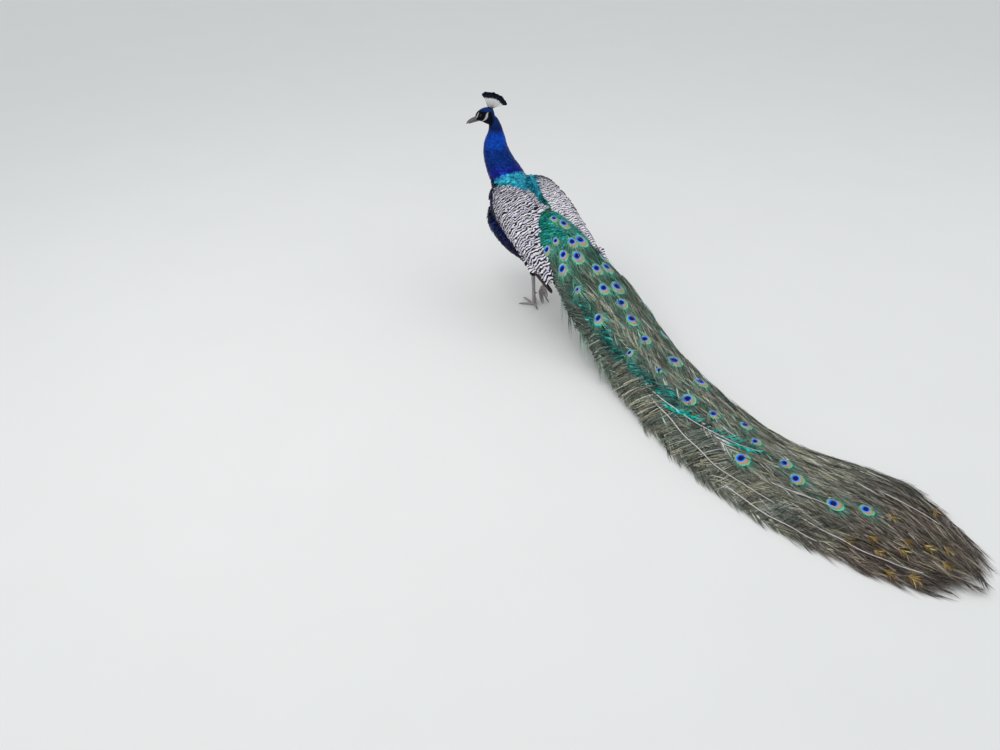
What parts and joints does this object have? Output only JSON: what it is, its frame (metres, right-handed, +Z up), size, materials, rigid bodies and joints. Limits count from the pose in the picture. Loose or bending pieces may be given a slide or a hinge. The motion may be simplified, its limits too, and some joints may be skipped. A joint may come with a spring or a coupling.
{
  "type": "peacock",
  "caption": "Life-size still model of an Indian peafowl cock in mid step, its head turned to its left and its long eyed train trailing on the floor.",
  "frame": {"origin": "middle of the bounding box's footprint, at the level of the soles and the underside of the train", "axes": "the bird faces -Y with the train running out along +Y, its left side is +X, and +Z is up"},
  "size_m": [0.5302, 2.1268, 0.758],
  "materials": {
    "blue_plumage": "close, satiny blue feathers",
    "dark_plumage": "dark blue-black feathers",
    "barred_plumage": "pale feathers with fine black bars",
    "primaries": "matt brown flight feathers",
    "train_plumage": "loose bronze-green feathers with eyes",
    "brown_plumage": "matt brown feathers",
    "crest_plumage": "thin bare shafts with dark blue tips",
    "bill": "horn, slightly glossy",
    "eye": "wet dark brown",
    "bare_leg": "scaly grey skin",
    "claw": "horn"
  },
  "bodies": {
    "root": {"head": "blue_plumage", "bill_upper": "bill", "bill_lower": "bill", "eye_left": "eye", "eye_right": "eye", "crest": "crest_plumage", "neck_upper": "blue_plumage", "neck_lower": "blue_plumage", "trunk": "dark_plumage", "wing_left": "barred_plumage", "flight_left": "barred_plumage", "primaries_left": "primaries", "wing_right": "barred_plumage", "flight_right": "barred_plumage", "primaries_right": "primaries", "train_root": "train_plumage", "train_upper": "train_plumage", "train_middle": "train_plumage", "train_lower": "train_plumage", "train_end": "train_plumage", "tail": "brown_plumage", "thigh_left": "brown_plumage", "foot_left": "bare_leg", "shank_left": "bare_leg", "spur_left": "claw", "claw_left_inner": "claw", "claw_left_middle": "claw", "claw_left_outer": "claw", "claw_left_hind": "claw", "thigh_right": "brown_plumage", "foot_right": "bare_leg", "shank_right": "bare_leg", "spur_right": "claw", "claw_right_inner": "claw", "claw_right_middle": "claw", "claw_right_outer": "claw", "claw_right_hind": "claw"}
  },
  "joints": []
}
